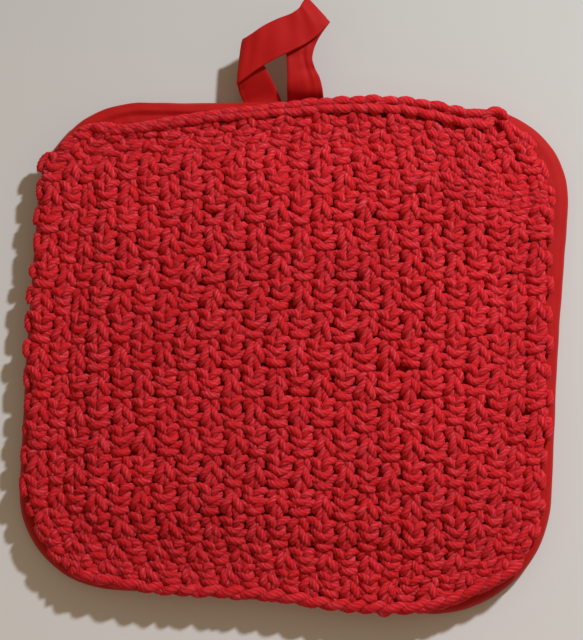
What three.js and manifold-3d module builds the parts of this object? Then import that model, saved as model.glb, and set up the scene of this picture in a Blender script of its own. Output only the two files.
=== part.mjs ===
// Knit potholder: a filled cloth pad with a bound rim, a hand-knitted panel sewn over its
// front, and a hanging loop of folded tape. Millimetres. It lies on its back: +Z is the
// knitted front, +Y is the edge that carries the loop, +X is the right-hand side.
import * as THREE from "three";
import { mergeVertices } from "three/addons/utils/BufferGeometryUtils.js";
import Module from "manifold-3d";

const wasm = await Module();
wasm.setup();

// ---------------------------------------------------------------- driving dimensions

const GAP = 0.3; // clearance kept between touching pieces

// Rim of the pad, all round: a tape bound over the squeezed edge of the filling.
const RIM = {
  radius: 3.4, // half the thickness of the finished rim
  tape: 1.1, // thickness of the binding tape, turned under
  width: 9, // how far the tape reaches in over each face
};

// Corners of the pad, clockwise from the top left: where its two sides would meet.
const CORNERS = [
  { name: "top left", x: -89.6, y: 81.6, radius: 35, bow: 0.9 },
  { name: "top right", x: 90.3, y: 87.4, radius: 37, bow: -0.6 },
  { name: "bottom right", x: 87.0, y: -85.6, radius: 36, bow: -0.3 },
  { name: "bottom left", x: -88.3, y: -81.4, radius: 33, bow: 0.5 },
]; // bow: how far the side that follows the corner bulges out at its middle
const SEGMENTS = { corner: 8, side: 8 };

const PAD = {
  swell: 3.3, // rise of the filling just inside the binding
  swellWidth: 17, // over which the filling rises
  crown: 1.5, // further rise towards the middle
  halfWidth: 90,
  halfHeight: 86,
  ripple: 0.25, // unevenness of the filling
  backRings: [70, 48, 24, 15], // insets of the rings on the flat back, middle first
  backLift: 12, // inset at which the back starts to lift to the binding
  frontRings: [13, 17, 22, 30, 48, 68], // insets of the rings on the front, rim first
};

// Edge of the knitted panel: how far it stops short of the pad's outline. `round` is the
// way round the outline, clockwise from the top left corner; a minus sign sticks out.
const PANEL_EDGE = [
  { round: 0.0, inset: 0.8 },
  { round: 0.012, inset: 3.5 },
  { round: 0.028, inset: 9.0 },
  { round: 0.042, inset: 8.8 },
  { round: 0.065, inset: 5.9 },
  { round: 0.09, inset: 3.6 },
  { round: 0.127, inset: 1.2 },
  { round: 0.17, inset: -0.9 },
  { round: 0.22, inset: 0.2 },
  { round: 0.241, inset: -1.2 },
  { round: 0.258, inset: 2.6 },
  { round: 0.3, inset: 5.9 },
  { round: 0.335, inset: 3.9 },
  { round: 0.4, inset: 3.6 },
  { round: 0.425, inset: 2.4 },
  { round: 0.45, inset: 3.9 },
  { round: 0.5, inset: 3.4 },
  { round: 0.535, inset: 4.6 },
  { round: 0.576, inset: 0.8 },
  { round: 0.63, inset: 2.4 },
  { round: 0.7, inset: 1.7 },
  { round: 0.74, inset: 1.8 },
  { round: 0.77, inset: 0.2 },
  { round: 0.81, inset: -0.9 },
  { round: 0.9, inset: -1.0 },
  { round: 0.92, inset: -0.4 },
  { round: 0.94, inset: -1.8 },
  { round: 0.958, inset: -0.9 },
  { round: 0.975, inset: -1.9 },
  { round: 0.988, inset: 0.3 },
];
const PANEL = {
  corners: { topLeft: 1.0, topRight: 0.252, bottomRight: 0.505, bottomLeft: 0.745 },
  thickness: 4.4,
  selvedge: 2.6, // thickness of the last loops at the edge
  selvedgeWidth: 4,
  lift: 0.65, // clearance of the panel over the rounded rim
  rest: 0.55, // and over the filled pad
  steps: 26, // divisions of the panel each way, away from its edges
  edgeSteps: [0, 1.2, 2.4, 3.8, 6], // distances of the first divisions from each edge
};

// Hanging loop: a strip of folded tape, followed from its left end to its right end. Each
// row is one crossing of the strip: the place of its first edge (ax, ay, az), which is the
// outer one on the left leg, and of its second edge (bx, by, bz).
const LOOP = {
  thickness: 1.2,
  seat: { x0: -22.6, x1: 7.2, y: 79.6, depth: 9, height: 2.1 }, // pocket for both ends
  refine: 2, // sections between two rows
};
const LOOP_ROWS = [
  { part: "left end", ax: -19.2, ay: 80.3, az: 3.4, bx: -7.2, by: 81.4, bz: 3.4 },
  { part: "left leg", ax: -21.3, ay: 84.2, az: 3.4, bx: -8.6, by: 85.9, bz: 3.5 },
  { part: "left leg", ax: -23.0, ay: 87.3, az: 5.4, bx: -11.6, by: 91.3, bz: 6.6 },
  { part: "left turn", ax: -23.5, ay: 88.8, az: 7.4, bx: -15.0, by: 96.4, bz: 9.4 },
  { part: "left turn", ax: -23.9, ay: 89.4, az: 9.0, bx: -19.2, by: 101.0, bz: 10.6 },
  { part: "left fold", ax: -23.6, ay: 89.2, az: 10.8, bx: -22.6, by: 104.2, bz: 11.8 },
  { part: "front strip", ax: -20.9, ay: 91.3, az: 12.4, bx: -21.2, by: 105.3, bz: 12.9 },
  { part: "front strip", ax: -16.9, ay: 94.4, az: 13.0, bx: -18.7, by: 107.0, bz: 13.4 },
  { part: "front strip", ax: -12.0, ay: 97.4, az: 13.4, bx: -15.2, by: 109.5, bz: 13.8 },
  { part: "front strip", ax: -5.9, ay: 100.8, az: 13.6, bx: -10.6, by: 112.0, bz: 14.0 },
  { part: "front strip", ax: -1.6, ay: 103.3, az: 13.6, bx: -6.5, by: 113.9, bz: 14.0 },
  { part: "front strip", ax: 2.4, ay: 106.5, az: 13.6, bx: -4.2, by: 115.8, bz: 13.9 },
  { part: "top turn", ax: 4.9, ay: 109.2, az: 13.6, bx: -3.3, by: 117.6, bz: 13.8 },
  { part: "top fold", ax: 6.5, ay: 111.5, az: 12.7, bx: -2.1, by: 119.9, bz: 12.9 },
  { part: "top turn", ax: 4.2, ay: 108.3, az: 11.7, bx: -3.9, by: 116.7, bz: 12.0 },
  { part: "right leg", ax: 2.4, ay: 104.9, az: 11.3, bx: -6.6, by: 112.0, bz: 11.6 },
  { part: "right leg", ax: 1.4, ay: 101.5, az: 10.9, bx: -8.2, by: 106.2, bz: 10.9 },
  { part: "right leg", ax: 1.3, ay: 98.8, az: 10.6, bx: -7.9, by: 101.3, bz: 9.6 },
  { part: "right leg", ax: 2.4, ay: 96.0, az: 9.2, bx: -7.3, by: 96.6, bz: 8.0 },
  { part: "right leg", ax: 4.1, ay: 93.0, az: 7.2, bx: -7.0, by: 92.6, bz: 6.4 },
  { part: "right leg", ax: 5.3, ay: 89.2, az: 5.0, bx: -6.9, by: 88.6, bz: 4.8 },
  { part: "right leg", ax: 5.9, ay: 85.4, az: 3.4, bx: -6.6, by: 84.9, bz: 3.4 },
  { part: "right end", ax: 6.0, ay: 80.8, az: 3.4, bx: -6.4, by: 80.4, bz: 3.4 },
];

const COLOURS = {
  yarn: 0xc22a37,
  cloth: 0xa51a20,
  tape: 0xb01b20,
};

// ---------------------------------------------------------------- outline of the pad

const smooth = (t) => {
  const s = THREE.MathUtils.clamp(t, 0, 1);
  return s * s * (3 - 2 * s);
};

// Tangent points and centre of the arc that rounds corner i.
function fillet(i) {
  const count = CORNERS.length;
  const at = (k) => new THREE.Vector2(CORNERS[(k + count) % count].x, CORNERS[(k + count) % count].y);
  const corner = at(i);
  const back = at(i - 1).sub(corner).normalize();
  const ahead = at(i + 1).sub(corner).normalize();
  const half = Math.acos(back.dot(ahead)) / 2;
  const radius = CORNERS[i].radius;
  const reach = radius / Math.tan(half);
  const middle = back.clone().add(ahead).normalize();
  return {
    start: corner.clone().addScaledVector(back, reach),
    end: corner.clone().addScaledVector(ahead, reach),
    centre: corner.clone().addScaledVector(middle, radius / Math.sin(half)),
    radius,
  };
}

// The outline, clockwise, as points with outward normals: an arc round each corner, then
// the side after it, which bows by a squared sine.
function outline({ corner, side }) {
  const points = [];
  const fillets = CORNERS.map((_, i) => fillet(i));
  fillets.forEach((arc, i) => {
    const first = Math.atan2(arc.start.y - arc.centre.y, arc.start.x - arc.centre.x);
    let last = Math.atan2(arc.end.y - arc.centre.y, arc.end.x - arc.centre.x);
    if (last > first) last -= 2 * Math.PI;
    for (let k = 0; k < corner; k++) {
      const angle = first + ((last - first) * k) / corner;
      const normal = new THREE.Vector2(Math.cos(angle), Math.sin(angle));
      points.push({ point: arc.centre.clone().addScaledVector(normal, arc.radius), normal });
    }
    const next = fillets[(i + 1) % fillets.length].start;
    const along = next.clone().sub(arc.end);
    const length = along.length();
    along.normalize();
    const out = new THREE.Vector2(-along.y, along.x);
    for (let k = 0; k < side; k++) {
      const t = k / side;
      const bulge = CORNERS[i].bow * Math.sin(Math.PI * t) ** 2;
      const slope = (CORNERS[i].bow * Math.PI * Math.sin(2 * Math.PI * t)) / length;
      const point = arc.end.clone().addScaledVector(along, length * t).addScaledVector(out, bulge);
      points.push({ point, normal: out.clone().addScaledVector(along, -slope).normalize() });
    }
  });
  return points;
}

// Place on the outline a fraction `round` of the way round it from the middle of the top
// left corner, with its outward normal.
const FINE = outline({ corner: 40, side: 40 });
const FINE_START = 20;
const FINE_LENGTHS = [0];
for (let i = 0; i < FINE.length; i++) {
  const from = FINE[(FINE_START + i) % FINE.length].point;
  const to = FINE[(FINE_START + i + 1) % FINE.length].point;
  FINE_LENGTHS.push(FINE_LENGTHS[i] + from.distanceTo(to));
}
function outlineAt(round) {
  const wanted = (((round % 1) + 1) % 1) * FINE_LENGTHS[FINE.length];
  let i = 0;
  while (i < FINE.length - 1 && FINE_LENGTHS[i + 1] < wanted) i++;
  const t = (wanted - FINE_LENGTHS[i]) / (FINE_LENGTHS[i + 1] - FINE_LENGTHS[i]);
  const from = FINE[(FINE_START + i) % FINE.length];
  const to = FINE[(FINE_START + i + 1) % FINE.length];
  return {
    point: from.point.clone().lerp(to.point, t),
    normal: from.normal.clone().lerp(to.normal, t).normalize(),
  };
}

// Distance of (x, y) inside the outline, negative outside it.
function insetAt(x, y) {
  const place = new THREE.Vector2(x, y);
  let nearest = Infinity;
  let sign = 1;
  FINE.forEach(({ point, normal }) => {
    const offset = place.clone().sub(point);
    if (offset.length() < nearest) {
      nearest = offset.length();
      sign = offset.dot(normal) > 0 ? -1 : 1;
    }
  });
  return sign * nearest;
}

// ---------------------------------------------------------------- heights

const PAD_EDGE = RIM.tape + GAP; // how far the filling's edge lies inside the rim
const PAD_HALF = RIM.radius - PAD_EDGE; // half the thickness of the squeezed edge
const PAD_SHELF = RIM.radius + PAD_HALF; // top of the filling under the binding
const SWELL_START = RIM.width + 2 * GAP;
const CLOSING = 30; // inset past which the rings shrink evenly to the middle

// Top of the filled pad at (x, y), which lies `inset` inside the outline.
function padTop(x, y, inset) {
  const near = Math.min(inset, CLOSING);
  const rise = PAD.swell * smooth((near - SWELL_START) / PAD.swellWidth);
  const fade = smooth((near - SWELL_START) / (CLOSING - SWELL_START));
  const crown = PAD.crown * (1 - (x / PAD.halfWidth) ** 2) * (1 - (y / PAD.halfHeight) ** 2);
  const ripple = PAD.ripple * Math.sin(x / 17 + 0.6) * Math.sin(y / 21 - 0.4);
  return PAD_SHELF + rise + fade * (crown + ripple);
}

// Underside of the knitted panel: it lies on the pad and follows the rounded rim down.
function panelUnderside(x, y) {
  const inset = insetAt(x, y);
  const reach = RIM.radius + PANEL.lift;
  const down = RIM.radius - Math.max(inset, 0);
  const rim = RIM.radius + Math.sqrt(Math.max(reach ** 2 - Math.max(down, 0) ** 2, 0));
  return Math.max(rim, padTop(x, y, inset) + PANEL.rest);
}

// ---------------------------------------------------------------- solids from rings

// A closed solid from rings of points: each ring joins to the next, and the first and last
// rings either close on a single point each or join to each other.
function solidFromRings(rings, closing) {
  const positions = [];
  const index = [];
  const count = rings[0].length;
  rings.forEach((ring) => ring.forEach((p) => positions.push(p.x, p.y, p.z)));
  const quad = (a, b, c, d) => index.push(a, b, c, a, c, d);
  const pairs = closing === "ring" ? rings.length : rings.length - 1;
  for (let r = 0; r < pairs; r++) {
    const low = r * count;
    const high = ((r + 1) % rings.length) * count;
    for (let k = 0; k < count; k++) {
      const next = (k + 1) % count;
      quad(low + k, high + k, high + next, low + next);
    }
  }
  if (closing === "caps") {
    [0, rings.length - 1].forEach((r) => {
      const middle = new THREE.Vector3();
      rings[r].forEach((p) => middle.addScaledVector(p, 1 / count));
      positions.push(middle.x, middle.y, middle.z);
      const apex = positions.length / 3 - 1;
      for (let k = 0; k < count; k++) {
        const here = r * count + k;
        const next = r * count + ((k + 1) % count);
        if (r === 0) index.push(apex, here, next);
        else index.push(apex, next, here);
      }
    });
  }
  const geometry = new THREE.BufferGeometry();
  geometry.setAttribute("position", new THREE.Float32BufferAttribute(positions, 3));
  geometry.setIndex(index);
  return geometry;
}

const RING = outline(SEGMENTS);

// One ring of the pad's outline moved in by `inset`, at the heights that `height` gives.
function ringAt(inset, height) {
  const step = Math.min(inset, CLOSING);
  const shrink = inset <= CLOSING ? 1 : 1 - (inset - CLOSING) / (PAD.halfHeight - CLOSING);
  return RING.map(({ point, normal }) => {
    const x = (point.x - normal.x * step) * shrink;
    const y = (point.y - normal.y * step) * shrink;
    return new THREE.Vector3(x, y, height(x, y));
  });
}

// Part of the rounded section of the rim, about the middle of its thickness.
function arcSection(radius, from, to, steps) {
  return Array.from({ length: steps + 1 }, (_, k) => {
    const angle = from + ((to - from) * k) / steps;
    return {
      inset: RIM.radius - radius * Math.cos(angle),
      z: RIM.radius + radius * Math.sin(angle),
    };
  });
}

function manifoldOf(geometry) {
  const bare = geometry.clone();
  bare.deleteAttribute("normal");
  bare.deleteAttribute("uv");
  const merged = mergeVertices(bare, 1e-5);
  return new wasm.Manifold(
    new wasm.Mesh({
      numProp: 3,
      vertProperties: new Float32Array(merged.attributes.position.array),
      triVerts: new Uint32Array(merged.index.array),
    }),
  );
}

function geometryOf(manifold) {
  const mesh = manifold.getMesh();
  const geometry = new THREE.BufferGeometry();
  geometry.setAttribute("position", new THREE.Float32BufferAttribute(mesh.vertProperties, 3));
  geometry.setIndex([...mesh.triVerts]);
  return geometry;
}

function piece(name, geometry, colour, roughness) {
  const flat = geometry.index ? geometry.toNonIndexed() : geometry;
  flat.computeVertexNormals();
  const mesh = new THREE.Mesh(
    flat,
    new THREE.MeshStandardMaterial({ color: colour, roughness, metalness: 0 }),
  );
  mesh.name = name;
  return mesh;
}

// Block that cuts the pocket for the loop's ends through the binding into the pad.
function loopSeat() {
  const { x0, x1, y, depth, height } = LOOP.seat;
  const block = new THREE.BoxGeometry(x1 - x0, depth, height);
  block.translate((x0 + x1) / 2, y + depth / 2, RIM.radius);
  return manifoldOf(block);
}

// ---------------------------------------------------------------- pieces

// Filled pad: flat underneath, squeezed thin where the binding holds it, crowned on top.
function pad() {
  const rings = PAD.backRings.map((inset) => ringAt(inset, () => 0));
  rings.push(ringAt(PAD.backLift, () => PAD_EDGE * 0.4));
  rings.push(ringAt(SWELL_START, () => PAD_EDGE));
  arcSection(PAD_HALF, -Math.PI / 2, Math.PI / 2, 4).forEach(({ inset, z }) => {
    rings.push(ringAt(inset, () => z));
  });
  [SWELL_START, ...PAD.frontRings].forEach((inset) => {
    rings.push(ringAt(inset, (x, y) => padTop(x, y, inset)));
  });
  const body = manifoldOf(solidFromRings(rings, "caps"));
  return piece("pad", geometryOf(body.subtract(loopSeat())), COLOURS.cloth, 0.85);
}

// Binding: a tape wrapped round the edge, the same width on both faces.
function edgeBinding() {
  const section = [
    { inset: RIM.width, z: RIM.tape },
    { inset: RIM.width, z: 0 },
    ...arcSection(RIM.radius, -Math.PI / 2, Math.PI / 2, 6),
    { inset: RIM.width, z: 2 * RIM.radius },
    { inset: RIM.width, z: 2 * RIM.radius - RIM.tape },
    ...arcSection(RIM.radius - RIM.tape, Math.PI / 2, -Math.PI / 2, 4),
  ];
  const rings = section.map(({ inset, z }) => ringAt(inset, () => z));
  const body = manifoldOf(solidFromRings(rings, "ring"));
  const cut = body.subtract(loopSeat());
  return piece("edge_binding", geometryOf(cut), COLOURS.tape, 0.8);
}

// Row i of the panel's edge table, counted on past either end of it.
function edgeRow(i) {
  const count = PANEL_EDGE.length;
  const turns = Math.floor(i / count);
  const row = PANEL_EDGE[i - turns * count];
  return { round: row.round + turns, inset: row.inset };
}

// Point of the panel's edge a fraction `round` of the way round the pad. Between two rows
// the inset follows a cubic whose slope at each row is that between the rows beside it.
function panelEdge(round) {
  const turn = ((round % 1) + 1) % 1;
  let i = 0;
  while (edgeRow(i + 1).round <= turn) i++;
  const [before, from, to, after] = [i - 1, i, i + 1, i + 2].map(edgeRow);
  const span = to.round - from.round;
  const slopeFrom = ((to.inset - before.inset) / (to.round - before.round)) * span;
  const slopeTo = ((after.inset - from.inset) / (after.round - from.round)) * span;
  const t = (turn - from.round) / span;
  const inset =
    (2 * t ** 3 - 3 * t ** 2 + 1) * from.inset +
    (t ** 3 - 2 * t ** 2 + t) * slopeFrom +
    (3 * t ** 2 - 2 * t ** 3) * to.inset +
    (t ** 3 - t ** 2) * slopeTo;
  const { point, normal } = outlineAt(turn);
  return point.clone().addScaledVector(normal, -inset);
}

// Divisions of the panel: close together near both edges, even between them.
function divisions(length) {
  const { edgeSteps, steps } = PANEL;
  const margin = edgeSteps[edgeSteps.length - 1] / length;
  const low = edgeSteps.slice(0, -1).map((d) => d / length);
  const middle = Array.from({ length: steps + 1 }, (_, k) => margin + ((1 - 2 * margin) * k) / steps);
  const high = low.map((t) => 1 - t).reverse();
  return [...low, ...middle, ...high];
}

// Knitted panel: a thick sheet between its four edges, lying over the crown of the pad.
// Across the panel each point is the even blend of the four edges.
function knitPanel() {
  const { topLeft, topRight, bottomRight, bottomLeft } = PANEL.corners;
  const blend = (from, to) => (t) => panelEdge(THREE.MathUtils.lerp(from, to, t));
  const top = blend(topLeft, topRight + 1);
  const right = blend(topRight, bottomRight);
  const bottom = blend(bottomLeft, bottomRight);
  const left = blend(topLeft, bottomLeft);
  const place = (u, v) => {
    const p = new THREE.Vector2();
    p.addScaledVector(top(u), 1 - v).addScaledVector(bottom(u), v);
    p.addScaledVector(left(v), 1 - u).addScaledVector(right(v), u);
    p.addScaledVector(top(0), -(1 - u) * (1 - v)).addScaledVector(top(1), -u * (1 - v));
    p.addScaledVector(bottom(0), -(1 - u) * v).addScaledVector(bottom(1), -u * v);
    return p;
  };
  const us = divisions(2 * PAD.halfWidth);
  const vs = divisions(2 * PAD.halfHeight);
  const positions = [];
  const index = [];
  [0, 1].forEach((side) => {
    vs.forEach((v) => {
      us.forEach((u) => {
        const p = place(u, v);
        const near = Math.min(u, 1 - u) * 2 * PAD.halfWidth;
        const nearer = Math.min(near, Math.min(v, 1 - v) * 2 * PAD.halfHeight);
        const full = smooth(nearer / PANEL.selvedgeWidth);
        const thick = THREE.MathUtils.lerp(PANEL.selvedge, PANEL.thickness, full);
        positions.push(p.x, p.y, panelUnderside(p.x, p.y) + side * thick);
      });
    });
  });
  const nu = us.length;
  const nv = vs.length;
  const at = (side, j, i) => side * nu * nv + j * nu + i;
  for (let j = 0; j < nv - 1; j++) {
    for (let i = 0; i < nu - 1; i++) {
      index.push(at(0, j, i), at(0, j, i + 1), at(0, j + 1, i + 1));
      index.push(at(0, j, i), at(0, j + 1, i + 1), at(0, j + 1, i));
      index.push(at(1, j, i), at(1, j + 1, i + 1), at(1, j, i + 1));
      index.push(at(1, j, i), at(1, j + 1, i), at(1, j + 1, i + 1));
    }
  }
  const wall = (a, b) => {
    index.push(at(0, ...a), at(1, ...a), at(1, ...b));
    index.push(at(0, ...a), at(1, ...b), at(0, ...b));
  };
  for (let i = 0; i < nu - 1; i++) {
    wall([0, i], [0, i + 1]);
    wall([nv - 1, i + 1], [nv - 1, i]);
  }
  for (let j = 0; j < nv - 1; j++) {
    wall([j + 1, 0], [j, 0]);
    wall([j, nu - 1], [j + 1, nu - 1]);
  }
  const geometry = new THREE.BufferGeometry();
  geometry.setAttribute("position", new THREE.Float32BufferAttribute(positions, 3));
  geometry.setIndex(index);
  return piece("knit_panel", geometry, COLOURS.yarn, 0.9);
}

// Hanging loop: smooth curves through the two edges of the strip, with the tape's
// thickness set off square to the strip on both sides.
function hangingLoop() {
  const edge = (a) =>
    new THREE.CatmullRomCurve3(
      LOOP_ROWS.map((row) => new THREE.Vector3(row[a + "x"], row[a + "y"], row[a + "z"])),
      false,
      "centripetal",
    );
  const first = edge("a");
  const second = edge("b");
  const count = (LOOP_ROWS.length - 1) * LOOP.refine;
  const middleAt = (t) => first.getPoint(t).add(second.getPoint(t)).multiplyScalar(0.5);
  const rings = [];
  for (let k = 0; k <= count; k++) {
    const t = k / count;
    const a = first.getPoint(t);
    const b = second.getPoint(t);
    const step = 0.25 / count;
    const ahead = middleAt(Math.min(t + step, 1)).sub(middleAt(Math.max(t - step, 0)));
    const off = b.clone().sub(a).cross(ahead).normalize().multiplyScalar(LOOP.thickness / 2);
    rings.push([a.clone().sub(off), b.clone().sub(off), b.clone().add(off), a.clone().add(off)]);
  }
  return piece("hanging_loop", solidFromRings(rings, "caps"), COLOURS.tape, 0.8);
}

// ---------------------------------------------------------------- assembly

const potholder = new THREE.Group();
potholder.add(pad(), edgeBinding(), knitPanel(), hangingLoop());

// The origin is the middle of the bottom of the box that holds the whole potholder.
const box = new THREE.Box3().setFromObject(potholder);
potholder.position.set(-(box.min.x + box.max.x) / 2, -(box.min.y + box.max.y) / 2, -box.min.z);

export default potholder;
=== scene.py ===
"""Knit potholder: the looks of its filled pad, bound rim, knitted panel and tape loop.

Sizes are in millimetres in the pad's own frame, where the outline's corners are given, and
`to_mesh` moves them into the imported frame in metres. +Z is the knitted front, +Y the edge
that carries the loop and +X the right-hand side.
"""

import math
from functools import partial

import bmesh
import bpy
import numpy as np
from mathutils import Matrix, Vector


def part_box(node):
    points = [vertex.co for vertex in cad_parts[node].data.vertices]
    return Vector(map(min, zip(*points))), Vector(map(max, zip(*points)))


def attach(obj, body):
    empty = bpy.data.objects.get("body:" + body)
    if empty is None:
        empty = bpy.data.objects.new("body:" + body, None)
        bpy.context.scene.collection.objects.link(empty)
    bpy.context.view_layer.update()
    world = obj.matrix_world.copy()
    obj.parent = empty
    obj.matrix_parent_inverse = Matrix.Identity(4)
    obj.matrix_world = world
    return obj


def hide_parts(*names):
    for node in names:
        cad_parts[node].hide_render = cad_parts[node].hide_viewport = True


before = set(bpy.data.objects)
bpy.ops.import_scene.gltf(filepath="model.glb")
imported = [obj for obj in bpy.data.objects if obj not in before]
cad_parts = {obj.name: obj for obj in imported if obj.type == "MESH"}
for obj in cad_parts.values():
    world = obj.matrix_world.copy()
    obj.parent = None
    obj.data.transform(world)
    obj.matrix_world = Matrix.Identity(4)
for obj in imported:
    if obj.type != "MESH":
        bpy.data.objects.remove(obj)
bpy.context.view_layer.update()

MM = 0.001
BODY = "root"

# ------ driving dimensions

# Corners of the pad, clockwise from the top left: where its two sides would meet, the
# radius of the corner, and how far the side that follows it bulges out at its middle.
CORNERS = (
    {"x": -89.6, "y": 81.6, "radius": 35, "bow": 0.9},
    {"x": 91.2, "y": 87.6, "radius": 31, "bow": -0.6},
    {"x": 87.0, "y": -85.6, "radius": 40, "bow": -0.3},
    {"x": -88.3, "y": -81.4, "radius": 33, "bow": 0.5},
)
RIM = {
    "radius": 3.4,
    "tape": 1.1,  # thickness of the tape
    "width": 9.0,  # of the tape on each face
    "roll": 0.35,  # how far its folded inner edge stands out
    "stations": 720,
}
# Lengthwise creases of the slack tape at the top left: (height, distance across the tape
# from the crease's line, half width, how far it sways).
CREASES = ((0.55, 0.0, 0.9, 0.0), (-0.4, 2.0, 0.8, 0.0), (0.35, -2.4, 0.9, 0.6))
SLACK = {"at": 0.055, "reach": 0.062, "line": 7.2}  # ways round; line from the front edge
PUCKERS = {"depth": 0.05, "at_corners": 0.11, "corner_reach": 0.045, "inset": 2.2, "reach": 2.0}
SEAM = {
    "pitch": 3.0,
    "inset": 1.6,  # from the inner edge of the tape
    "stitch": 2.3,
    "thread": 0.42,
    "arch": 0.35,  # rise of a stitch's middle and dip of its ends, in threads
    "back": 0.28,  # height of the thread's middle on the back
}

PAD = {
    "shelf": 5.4,  # height of the filling's edge under the binding
    "swell": 3.3,  # rise of the filling just inside the binding
    "swell_start": 9.6,  # inset at which that rise begins
    "swell_width": 17.0,
    "crown": 1.5,
    "half_width": 90.0,
    "half_height": 86.0,
    "ripple": 0.25,
    "closing": 30.0,  # inset from which the rings shrink towards the middle
    "dent": 0.22,
    "flat_from": 14.0,  # inset at which the back lies down and its dents begin
    "dents_grow": 8.0,  # width over which they grow
    "dents_end": 70.0,  # inset at which they end, and the width over which they shrink
    "dents_shrink": 30.0,
    "stations": 240,
}
# Insets of the pad's rings, on the back and on the front: close together where it bends.
BACK_RINGS = np.concatenate([np.linspace(80, 16, 24), [14, 12, 10.5, 9.6, 7, 5]])
FRONT_RINGS = np.concatenate([[5, 7, 9.6], np.linspace(10.5, 30, 14), np.linspace(34, 80, 16)])

# Edge of the knitted panel: (way round the outline, clockwise from the top left corner;
# how far the knitting stops short of the outline there). A minus sign sticks out.
PANEL_EDGE = np.array([
    (0.0, 2.8),
    (0.012, 5.6),
    (0.028, 10.0),
    (0.042, 10.0),
    (0.065, 7.4),
    (0.09, 4.9),
    (0.127, 2.0),
    (0.17, -0.4),
    (0.215, 0.2),
    (0.232, -1.2),
    (0.246, 3.2),
    (0.26, 5.4),
    (0.29, 6.6),
    (0.31, 5.6),
    (0.335, 3.5),
    (0.36, 2.9),
    (0.4, 1.9),
    (0.425, 1.5),
    (0.45, 3.4),
    (0.5, 3.1),
    (0.535, 4.6),
    (0.576, 0.8),
    (0.63, 1.3),
    (0.7, 1.3),
    (0.74, 2.8),
    (0.77, 2.3),
    (0.81, 1.5),
    (0.9, 0.5),
    (0.92, 0.6),
    (0.94, -0.9),
    (0.958, -0.2),
    (0.975, -1.5),
    (0.988, 1.9),
])
PANEL = {
    "top_left": 1.01,  # where its corners lie, as ways round the outline
    "top_right": 0.235,
    "bottom_right": 0.505,
    "bottom_left": 0.745,
    "lift": 0.65,  # clearance of the panel over the rounded rim
    "rest": 0.55,  # and over the filled pad
    "middle": 2.1,  # height of the middle of the knitting over its underside
    "width": 176.0,
    "height": 168.0,
}

KNIT = {
    "columns": 24,
    "rows": 36,
    "points": 24,  # points that follow the yarn through one stitch while it settles
    "stitch": 7.2,  # width of a stitch
    "row": 4.65,  # height of a row
    "lengths": (27.0, 21.5),  # yarn in a stitch of the rows worked forth, and back
    "uneven": 0.10,  # share by which that length varies, and its limits
    "most_uneven": (-0.14, 0.16),
    "wander": (0.55, 0.6, 0.35),  # how far the stitches are out of place, each way
    "touch": 1.95,  # distance between the middles of two strands that touch
    "flatten": 0.8,  # how much of its free thickness the knitting keeps, sewn down
    "strand": 2.9,  # diameter of the yarn
    "side_margin": 2.3,  # from the panel's sides to the first and last stitch
    "top_margin": 3.4,
    "bottom_margin": 2.6,
    "bands": 5,  # pieces that the rows are shared between
    "segments": 24,  # of the finished strand, for one stitch, and for the turn of a row
    "turn_segments": 10,
    "sides": 16,
}
CELLS = {
    "middle": 1.8,  # rows from the start of a repeat to the middle of the knit pair
    "sunk_at": 3.8,  # and to the second purl bump
    "stretch": 0.7,  # how far the strands move up or down
    "sink": 0.85,  # how far the fabric stands up or sinks
    "bump_in": 0.75,  # how far purl bumps draw in sideways
    "legs_in": 0.2,  # and knit legs
}
# Shares of the forces that settle the yarn, its longest step in one round, and the rounds
# after which its neighbours are looked up again.
SETTLE = {"pull": 0.4, "bend": 0.25, "push": 0.15, "flatten": 0.004, "step": 0.06, "again": 25}
PLY = {"count": 5, "pitch": 8.0, "groove": 0.05}

# Path of the yarn through the left half of a stitch. `across` is in stitch widths, `up` in
# row heights. The depth is the sum of four shares: of this stitch's own face, of the face
# of the stitch above, and of the faces of its left and right neighbours (+1 knit, -1 purl).
HALF_STITCH = np.array([
    # across, up, own, above, left, right
    (0.00, -0.10, -0.5, 0.0, -0.5, 0.0),
    (0.26, 0.02, -1.0, 0.0, 0.0, 0.0),
    (0.40, 0.28, -0.2, 0.0, 0.0, 0.0),
    (0.38, 0.68, 1.0, 0.0, 0.0, 0.0),
    (0.27, 1.10, 0.0, 1.0, 0.0, 0.0),
    (0.20, 1.38, 0.0, 0.0, 0.0, 0.0),
    (0.30, 1.66, 0.0, -0.9, 0.0, 0.0),
    (0.50, 1.76, 0.0, -1.0, 0.0, 0.0),
])
# The right half mirrors it: across runs the other way, and left and right change places.
MIRRORED = HALF_STITCH[-2::-1, [0, 1, 2, 3, 5, 4]] * (-1, 1, 1, 1, 1, 1) + (1, 0, 0, 0, 0, 0)
STITCH_PATH = np.concatenate([HALF_STITCH, MIRRORED])

# Size of the flat knitting.
WIDTH = KNIT["columns"] * KNIT["stitch"]
HEIGHT = KNIT["rows"] * KNIT["row"]

SEED = 7


def smooth(t):
    """Cubic ease: 3 t^2 - 2 t^3, with t held between 0 and 1."""
    s = np.clip(t, 0.0, 1.0)
    return s * s * (3.0 - 2.0 * s)


def hump(t):
    """Bell curve: e to the minus t squared."""
    return np.exp(-np.square(t))


def unit(vectors):
    """The vectors, each divided by its length."""
    return vectors / np.linalg.norm(vectors, axis=-1, keepdims=True)


def way_along(lines):
    """Distance of each point from the start of its line, by straight steps."""
    steps = np.linalg.norm(np.diff(lines, axis=-2), axis=-1)
    return np.concatenate([0 * steps[..., :1], np.cumsum(steps, axis=-1)], axis=-1)


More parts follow.
